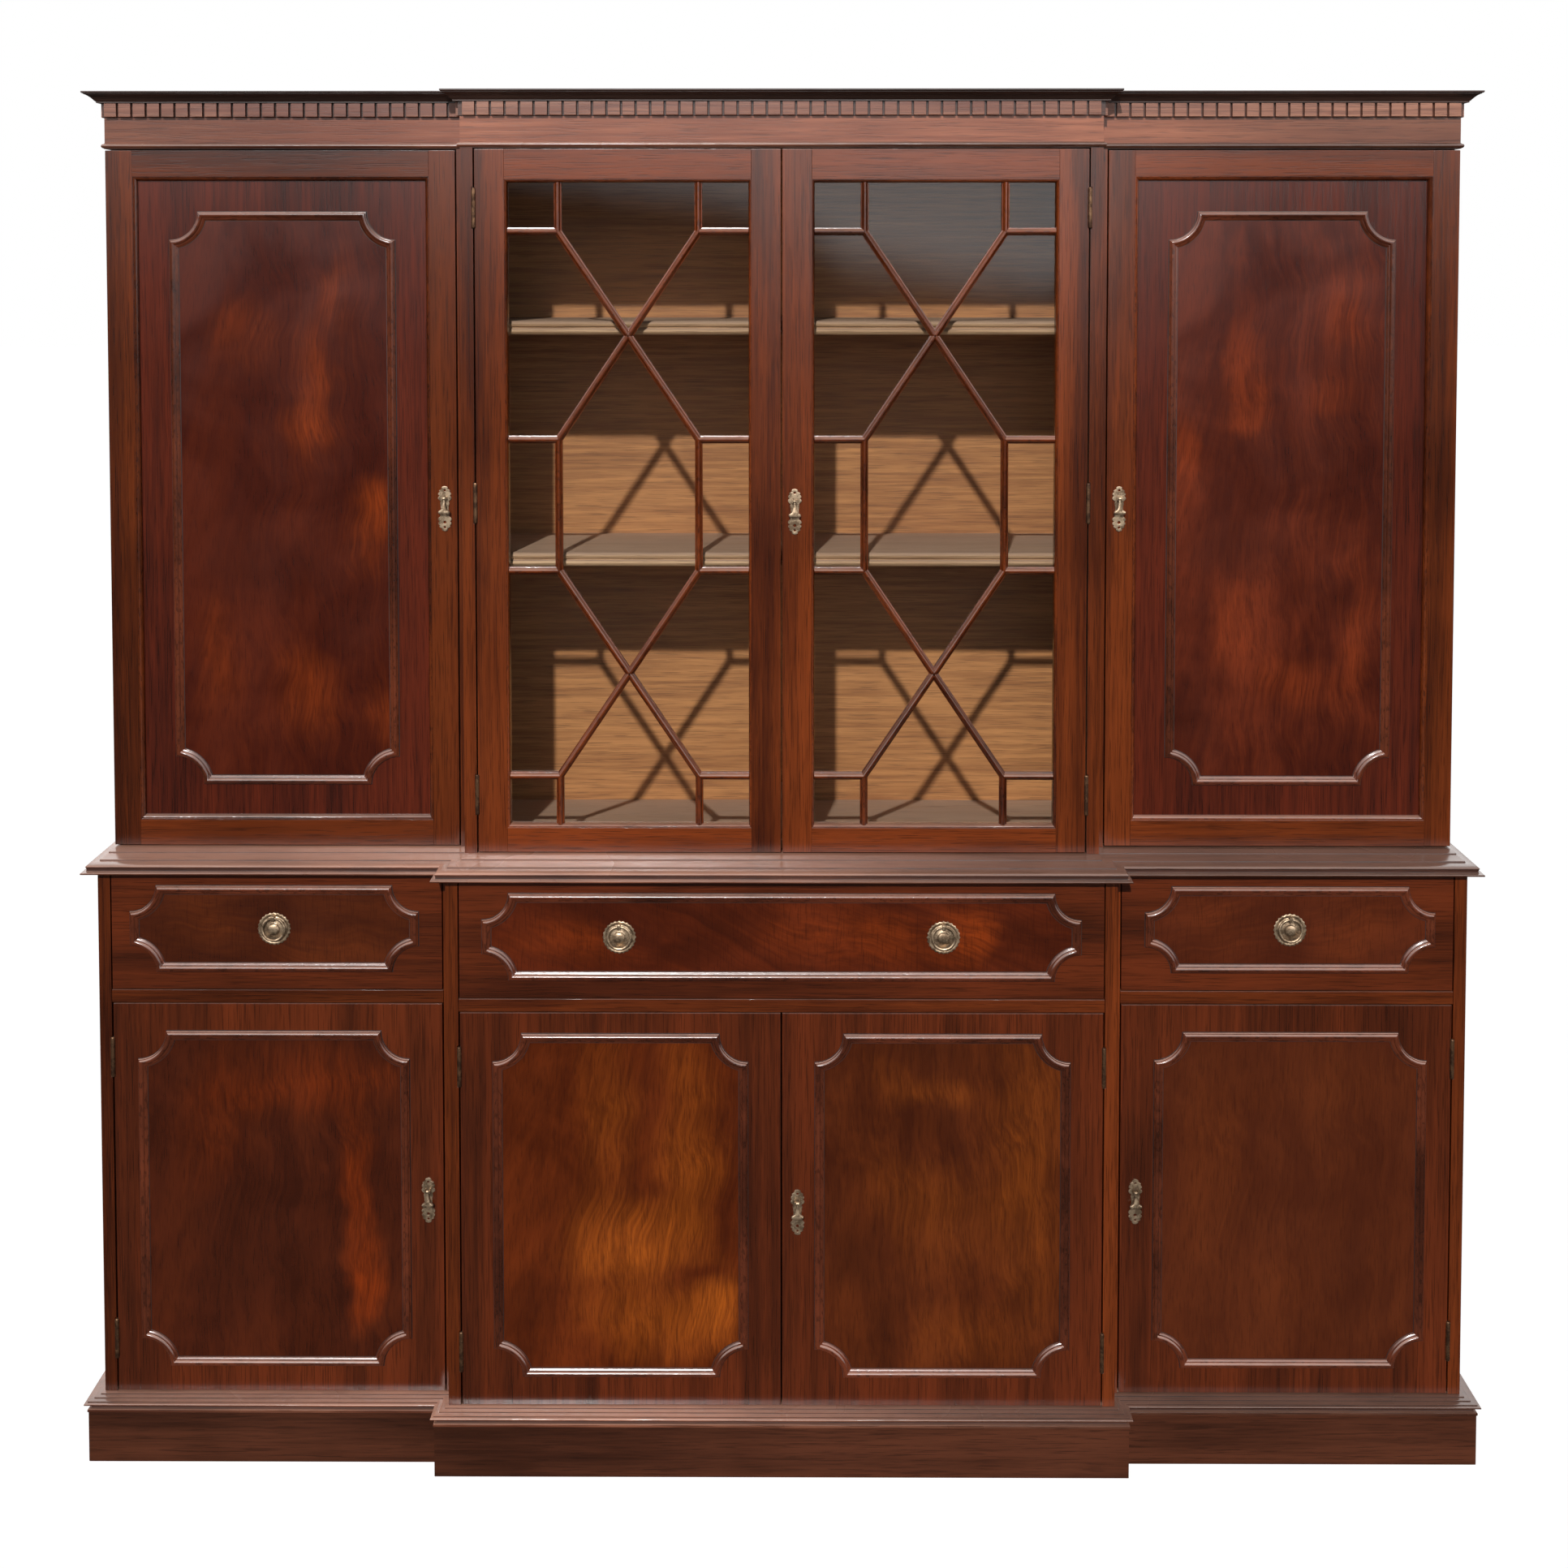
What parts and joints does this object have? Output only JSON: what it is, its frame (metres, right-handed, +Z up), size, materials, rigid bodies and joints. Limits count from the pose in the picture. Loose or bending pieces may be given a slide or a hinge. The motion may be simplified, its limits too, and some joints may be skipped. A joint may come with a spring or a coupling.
{
  "type": "secretary bookcase",
  "caption": "Breakfront bookcase in mahogany with glazed and panelled doors over drawers and cupboards; the wide drawer has a fall front for writing.",
  "frame": {"origin": "on the floor, under the middle of the overall width and depth", "axes": "+Z up, the doors face -Y, +X to the right of someone facing the doors"},
  "size_m": [2.015, 0.3774, 1.98],
  "materials": {
    "case_wood": "semi-gloss polished mahogany, straight grain",
    "moulding": "semi-gloss polished dark mahogany",
    "figured_wood": "polished flame mahogany veneer",
    "back_board": "satin tan wood with level grain",
    "shelf_wood": "satin pale mahogany",
    "drawer_wood": "unpolished secondary wood",
    "brass": "aged, pale, satin",
    "glass": "clear"
  },
  "bodies": {
    "carcass": {"plinth": "moulding", "base_side_left": "case_wood", "base_side_right": "case_wood", "base_partition_left": "case_wood", "base_partition_right": "case_wood", "drawer_rail_left": "case_wood", "drawer_rail_centre": "case_wood", "drawer_rail_right": "case_wood", "base_back_panel": "back_board", "waist_moulding": "moulding", "upper_floor": "shelf_wood", "upper_side_left": "case_wood", "upper_side_right": "case_wood", "upper_partition_left": "case_wood", "upper_partition_right": "case_wood", "wing_shelf_left": "shelf_wood", "wing_shelf_right": "shelf_wood", "centre_shelf_low": "shelf_wood", "centre_shelf_high": "shelf_wood", "upper_back_panel": "back_board", "frieze": "case_wood", "cornice": "moulding"},
    "upper_wing_leaf_left": {"upper_wing_door_frame_left": "case_wood", "upper_wing_door_panel_left": "figured_wood", "escutcheon_upper_left": "brass"},
    "glazed_leaf_left": {"glazed_door_frame_left": "case_wood", "glazed_door_glass_left": "glass"},
    "base_wing_leaf_left": {"base_wing_door_left": "figured_wood", "escutcheon_base_left": "brass"},
    "base_centre_leaf_left": {"base_centre_door_left": "figured_wood"},
    "wing_drawer_left": {"drawer_front_left": "figured_wood", "drawer_box_left": "drawer_wood", "ring_rose_left": "brass"},
    "upper_wing_leaf_right": {"upper_wing_door_frame_right": "case_wood", "upper_wing_door_panel_right": "figured_wood", "escutcheon_upper_right": "brass"},
    "glazed_leaf_right": {"glazed_door_frame_right": "case_wood", "glazed_door_glass_right": "glass", "escutcheon_upper_centre": "brass"},
    "base_wing_leaf_right": {"base_wing_door_right": "figured_wood", "escutcheon_base_right": "brass"},
    "base_centre_leaf_right": {"base_centre_door_right": "figured_wood", "escutcheon_base_centre": "brass"},
    "wing_drawer_right": {"drawer_front_right": "figured_wood", "drawer_box_right": "drawer_wood", "ring_rose_right": "brass"},
    "writing_drawer": {"writing_drawer_box": "drawer_wood"},
    "fall": {"fall_front": "figured_wood", "ring_rose_writing_left": "brass", "ring_rose_writing_right": "brass"},
    "ring_left": {"ring_pull_left": "brass"},
    "ring_writing_left": {"ring_pull_writing_left": "brass"},
    "ring_writing_right": {"ring_pull_writing_right": "brass"},
    "ring_right": {"ring_pull_right": "brass"},
    "drop_upper_left": {"drop_pull_upper_left": "brass"},
    "drop_upper_centre": {"drop_pull_upper_centre": "brass"},
    "drop_upper_right": {"drop_pull_upper_right": "brass"},
    "drop_base_left": {"drop_pull_base_left": "brass"},
    "drop_base_centre": {"drop_pull_base_centre": "brass"},
    "drop_base_right": {"drop_pull_base_right": "brass"}
  },
  "joints": [
    {"name": "upper_wing_door_left_hinge", "type": "hinge", "parent": "carcass", "child": "upper_wing_leaf_left", "pos_m": [-0.978, -0.0701, 1.39], "axis": [0, 0, -1], "range_deg": [0, 105]},
    {"name": "glazed_door_left_hinge", "type": "hinge", "parent": "carcass", "child": "glazed_leaf_left", "pos_m": [-0.4395, -0.12125, 1.39], "axis": [0, 0, -1], "range_deg": [0, 105]},
    {"name": "base_wing_door_left_hinge", "type": "hinge", "parent": "carcass", "child": "base_wing_leaf_left", "pos_m": [-0.966, -0.13725, 0.3805], "axis": [0, 0, -1], "range_deg": [0, 105]},
    {"name": "base_centre_door_left_hinge", "type": "hinge", "parent": "carcass", "child": "base_centre_leaf_left", "pos_m": [-0.4595, -0.16725, 0.3805], "axis": [0, 0, -1], "range_deg": [0, 105]},
    {"name": "wing_drawer_left_slide", "type": "slide", "parent": "carcass", "child": "wing_drawer_left", "axis": [0, -1, 0], "range_m": [0, 0.23]},
    {"name": "upper_wing_door_right_hinge", "type": "hinge", "parent": "carcass", "child": "upper_wing_leaf_right", "pos_m": [0.978, -0.0701, 1.39], "axis": [0, 0, 1], "range_deg": [0, 105]},
    {"name": "glazed_door_right_hinge", "type": "hinge", "parent": "carcass", "child": "glazed_leaf_right", "pos_m": [0.4395, -0.12125, 1.39], "axis": [0, 0, 1], "range_deg": [0, 105]},
    {"name": "base_wing_door_right_hinge", "type": "hinge", "parent": "carcass", "child": "base_wing_leaf_right", "pos_m": [0.966, -0.13725, 0.3805], "axis": [0, 0, 1], "range_deg": [0, 105]},
    {"name": "base_centre_door_right_hinge", "type": "hinge", "parent": "carcass", "child": "base_centre_leaf_right", "pos_m": [0.4595, -0.16725, 0.3805], "axis": [0, 0, 1], "range_deg": [0, 105]},
    {"name": "wing_drawer_right_slide", "type": "slide", "parent": "carcass", "child": "wing_drawer_right", "axis": [0, -1, 0], "range_m": [0, 0.23]},
    {"name": "writing_drawer_slide", "type": "slide", "parent": "carcass", "child": "writing_drawer", "axis": [0, -1, 0], "range_m": [0, 0.24]},
    {"name": "fall_front_hinge", "type": "hinge", "parent": "writing_drawer", "child": "fall", "pos_m": [0, -0.16625, 0.688], "axis": [1, 0, 0], "range_deg": [0, 90]},
    {"name": "ring_left_pivot", "type": "hinge", "parent": "wing_drawer_left", "child": "ring_left", "pos_m": [-0.73075, -0.14175, 0.793], "axis": [-1, 0, 0], "range_deg": [0, 85]},
    {"name": "ring_writing_left_pivot", "type": "hinge", "parent": "fall", "child": "ring_writing_left", "pos_m": [-0.2305, -0.17175, 0.793], "axis": [-1, 0, 0], "range_deg": [0, 85]},
    {"name": "ring_writing_right_pivot", "type": "hinge", "parent": "fall", "child": "ring_writing_right", "pos_m": [0.2305, -0.17175, 0.793], "axis": [-1, 0, 0], "range_deg": [0, 85]},
    {"name": "ring_right_pivot", "type": "hinge", "parent": "wing_drawer_right", "child": "ring_right", "pos_m": [0.73075, -0.14175, 0.793], "axis": [-1, 0, 0], "range_deg": [0, 85]},
    {"name": "drop_upper_left_pivot", "type": "hinge", "parent": "upper_wing_leaf_left", "child": "drop_upper_left", "pos_m": [-0.4895, -0.09675, 1.39351], "axis": [-1, 0, 0], "range_deg": [0, 70]},
    {"name": "drop_upper_centre_pivot", "type": "hinge", "parent": "glazed_leaf_right", "child": "drop_upper_centre", "pos_m": [0.019, -0.12675, 1.39351], "axis": [-1, 0, 0], "range_deg": [0, 70]},
    {"name": "drop_upper_right_pivot", "type": "hinge", "parent": "upper_wing_leaf_right", "child": "drop_upper_right", "pos_m": [0.4895, -0.09675, 1.39351], "axis": [-1, 0, 0], "range_deg": [0, 70]},
    {"name": "drop_base_left_pivot", "type": "hinge", "parent": "base_wing_leaf_left", "child": "drop_base_left", "pos_m": [-0.5115, -0.14275, 0.39351], "axis": [-1, 0, 0], "range_deg": [0, 70]},
    {"name": "drop_base_centre_pivot", "type": "hinge", "parent": "base_centre_leaf_right", "child": "drop_base_centre", "pos_m": [0.023, -0.17275, 0.39351], "axis": [-1, 0, 0], "range_deg": [0, 70]},
    {"name": "drop_base_right_pivot", "type": "hinge", "parent": "base_wing_leaf_right", "child": "drop_base_right", "pos_m": [0.5115, -0.14275, 0.39351], "axis": [-1, 0, 0], "range_deg": [0, 70]}
  ]
}
